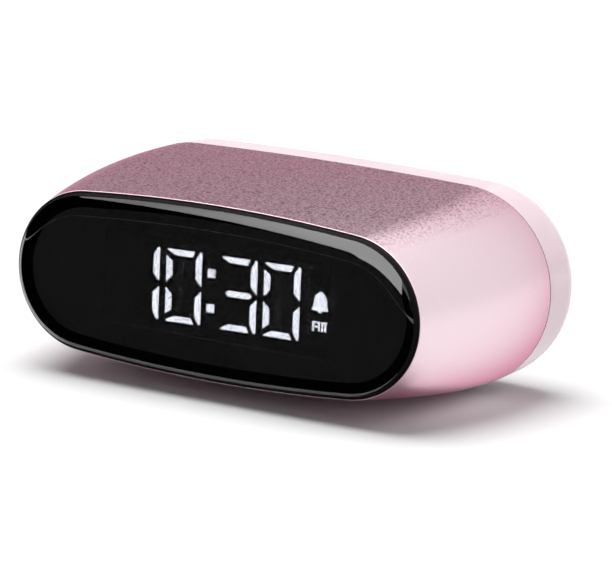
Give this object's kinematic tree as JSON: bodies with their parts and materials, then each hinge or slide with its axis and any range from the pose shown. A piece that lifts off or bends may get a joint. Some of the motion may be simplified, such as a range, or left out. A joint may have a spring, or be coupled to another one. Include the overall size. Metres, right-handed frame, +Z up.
{
  "type": "alarm clock",
  "caption": "Small bedside digital alarm clock with a bowed oval metal sleeve, dark crowned lens, lit figures and a keyed rear cover.",
  "frame": {"origin": "on the table plane, under the middle of the clock's bounding box", "axes": "+X to the viewer's right, +Y from the lens to the back, +Z up"},
  "size_m": [0.1004, 0.059, 0.0408],
  "materials": {
    "anodised_aluminium": "fine sparkling anodised",
    "smoked_acrylic": "gloss",
    "adhesive_film": "matte",
    "black_abs": "matte",
    "polarizer_film": "gloss",
    "display_glass": "polished",
    "lit_figures": "lit",
    "clear_acrylic": "gloss",
    "led_white": "gloss",
    "silicone_grey": "matte",
    "board_laminate": "satin",
    "chip_epoxy": "matte",
    "plated_steel": "bright",
    "pink_abs": "satin",
    "key_abs": "satin",
    "switch_resin": "satin",
    "ribbon_film": "satin",
    "cell_jacket": "gloss"
  },
  "bodies": {
    "clock": {"housing_sleeve": "anodised_aluminium", "front_lens": "smoked_acrylic", "lens_adhesive": "adhesive_film", "lens_carrier": "black_abs", "alarm_slider_case": "black_abs", "buzzer": "black_abs", "front_polarizer": "polarizer_film", "rear_polarizer": "polarizer_film", "lcd_front_glass": "display_glass", "lcd_rear_glass": "display_glass", "lit_segments": "lit_figures", "light_guide": "clear_acrylic", "backlight_leds": "led_white", "contact_strips": "silicone_grey", "front_foot": "silicone_grey", "rear_foot": "silicone_grey", "main_board": "board_laminate", "left_key_board": "board_laminate", "right_key_board": "board_laminate", "clock_chip": "chip_epoxy", "quartz_crystal": "plated_steel", "board_screws": "plated_steel", "case_screws": "plated_steel", "series_contact": "plated_steel", "positive_contact": "plated_steel", "negative_contact": "plated_steel", "touch_spring": "plated_steel", "rear_cover": "pink_abs", "key_switches": "switch_resin", "ribbon_cables": "ribbon_film", "battery_cells": "cell_jacket"},
    "battery_door": {"battery_door": "pink_abs"},
    "hour_key": {"hour_button": "key_abs", "hour_plunger": "switch_resin"},
    "minute_key": {"minute_button": "key_abs", "minute_plunger": "switch_resin"},
    "time_set_key": {"time_set_button": "key_abs", "time_set_plunger": "switch_resin"},
    "alarm_set_key": {"alarm_set_button": "key_abs", "alarm_set_plunger": "switch_resin"},
    "alarm_switch": {"alarm_knob": "key_abs", "alarm_lever": "switch_resin"}
  },
  "joints": [
    {"name": "battery_door_hinge", "type": "hinge", "parent": "clock", "child": "battery_door", "pos_m": [0, 0.02792, 0.01065], "axis": [-1, 0, 0], "range_deg": [0, 85]},
    {"name": "hour_key_press", "type": "slide", "parent": "clock", "child": "hour_key", "axis": [0, -1, 0], "range_m": [0, 0.0005], "stiffness_N_per_m": 1000, "springref_m": -0.0003},
    {"name": "minute_key_press", "type": "slide", "parent": "clock", "child": "minute_key", "axis": [0, -1, 0], "range_m": [0, 0.0005], "stiffness_N_per_m": 1000, "springref_m": -0.0003},
    {"name": "time_set_key_press", "type": "slide", "parent": "clock", "child": "time_set_key", "axis": [0, -1, 0], "range_m": [0, 0.0005], "stiffness_N_per_m": 1000, "springref_m": -0.0003},
    {"name": "alarm_set_key_press", "type": "slide", "parent": "clock", "child": "alarm_set_key", "axis": [0, -1, 0], "range_m": [0, 0.0005], "stiffness_N_per_m": 1000, "springref_m": -0.0003},
    {"name": "alarm_switch_slide", "type": "slide", "parent": "clock", "child": "alarm_switch", "axis": [0, 0, -1], "range_m": [0, 0.003]}
  ]
}
